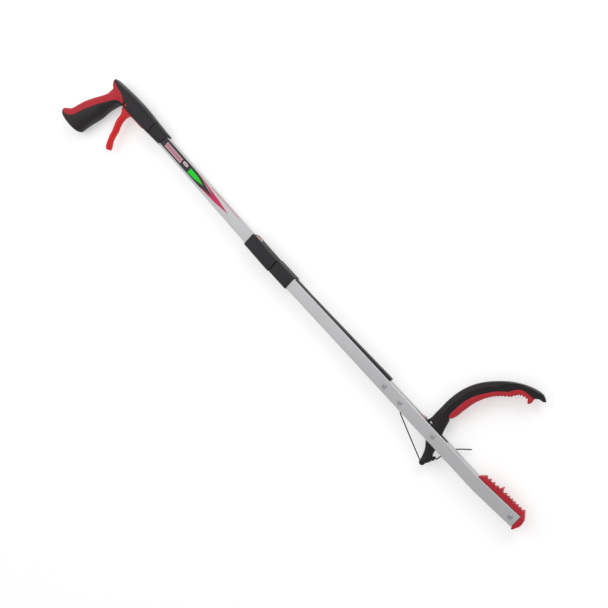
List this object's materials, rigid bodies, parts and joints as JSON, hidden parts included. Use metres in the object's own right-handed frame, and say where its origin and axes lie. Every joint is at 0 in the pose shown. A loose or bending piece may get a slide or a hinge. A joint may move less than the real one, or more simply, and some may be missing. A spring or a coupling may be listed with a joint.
{
  "type": "reacher grabber",
  "caption": "Folding pick-up reacher: pistol grip with trigger, flat tubes hinged at a sleeve, and a hooked jaw that a pull cord closes on a toothed tube end.",
  "frame": {"origin": "middle of the overall box, on the surface that the tool lies on", "axes": "+X from the handle to the jaw, +Y the way the jaw opens, +Z the tool's thickness, up when it lies on its side"},
  "size_m": [0.8736, 0.2172, 0.0258],
  "materials": {
    "casing_black": "fine moulded texture",
    "sleeve_black": "fine moulded texture",
    "grip_red": "soft matte overmould",
    "trigger_red": "smooth moulded",
    "aluminium": "satin anodised extrusion",
    "rivet_steel": "semi-bright",
    "steel": "plain bright steel",
    "jaw_black": "semi-gloss moulded nylon",
    "pad_red": "matte moulded",
    "decal": "printed film",
    "cord": "braided cord"
  },
  "bodies": {
    "handle": {"handle_shell_front": "casing_black", "handle_shell_back": "casing_black", "grip_overmould": "grip_red", "nose_collar": "casing_black", "casing_screw_butt": "steel", "casing_screw_grip": "steel", "casing_screw_rear": "steel", "casing_screw_front": "steel", "cord_post": "steel", "cord_anchor": "steel", "upper_tube": "aluminium", "decal_label": "decal", "hinge_housing_upper": "sleeve_black", "fold_pin": "steel", "button_spring": "steel", "pull_cord_upper": "cord", "pull_cord_bight": "cord"},
    "trigger_lever": {"trigger": "trigger_red", "cord_pin_arm": "steel"},
    "button": {"fold_button": "trigger_red", "fold_latch": "steel"},
    "lower_half": {"lower_tube": "aluminium", "top_strip": "sleeve_black", "rivet_guide_rear": "rivet_steel", "rivet_guide_front": "rivet_steel", "jaw_pivot_rivet": "rivet_steel", "end_rivet": "rivet_steel", "fixed_jaw_insert": "pad_red", "guide_block": "sleeve_black", "return_spring": "steel", "hinge_housing_lower": "sleeve_black", "pull_cord_lower": "cord", "pull_cord_outer": "cord"},
    "jaw": {"jaw_arm": "jaw_black", "jaw_pad": "pad_red", "cord_tail": "cord"}
  },
  "joints": [
    {"name": "trigger_pull", "type": "hinge", "parent": "handle", "child": "trigger_lever", "pos_m": [-0.34383, -0.02143, 0.01291], "axis": [0, 0, -1], "range_deg": [0, 24], "stiffness_Nm_per_rad": 1.2, "springref_deg": -22.92, "deforming": ["pull_cord_bight"]},
    {"name": "fold", "type": "hinge", "parent": "handle", "child": "lower_half", "pos_m": [-0.00518, -0.0227, 0.00271], "axis": [0, 1, 0], "range_deg": [0, 175]},
    {"name": "jaw_swing", "type": "hinge", "parent": "lower_half", "child": "jaw", "pos_m": [0.29662, -0.0207, 0.01291], "axis": [0, 0, -1], "range_deg": [0, 56], "deforming": ["pull_cord_outer", "return_spring"]},
    {"name": "button_press", "type": "slide", "parent": "handle", "child": "button", "axis": [-0.0218, -0.9998, 0], "range_m": [0, 0.0015], "stiffness_N_per_m": 600, "springref_m": -0.003, "deforming": ["button_spring"]}
  ],
  "couplings": [
    {"joint": "jaw_swing", "follows": "trigger_pull", "ratio": 2.3333}
  ]
}
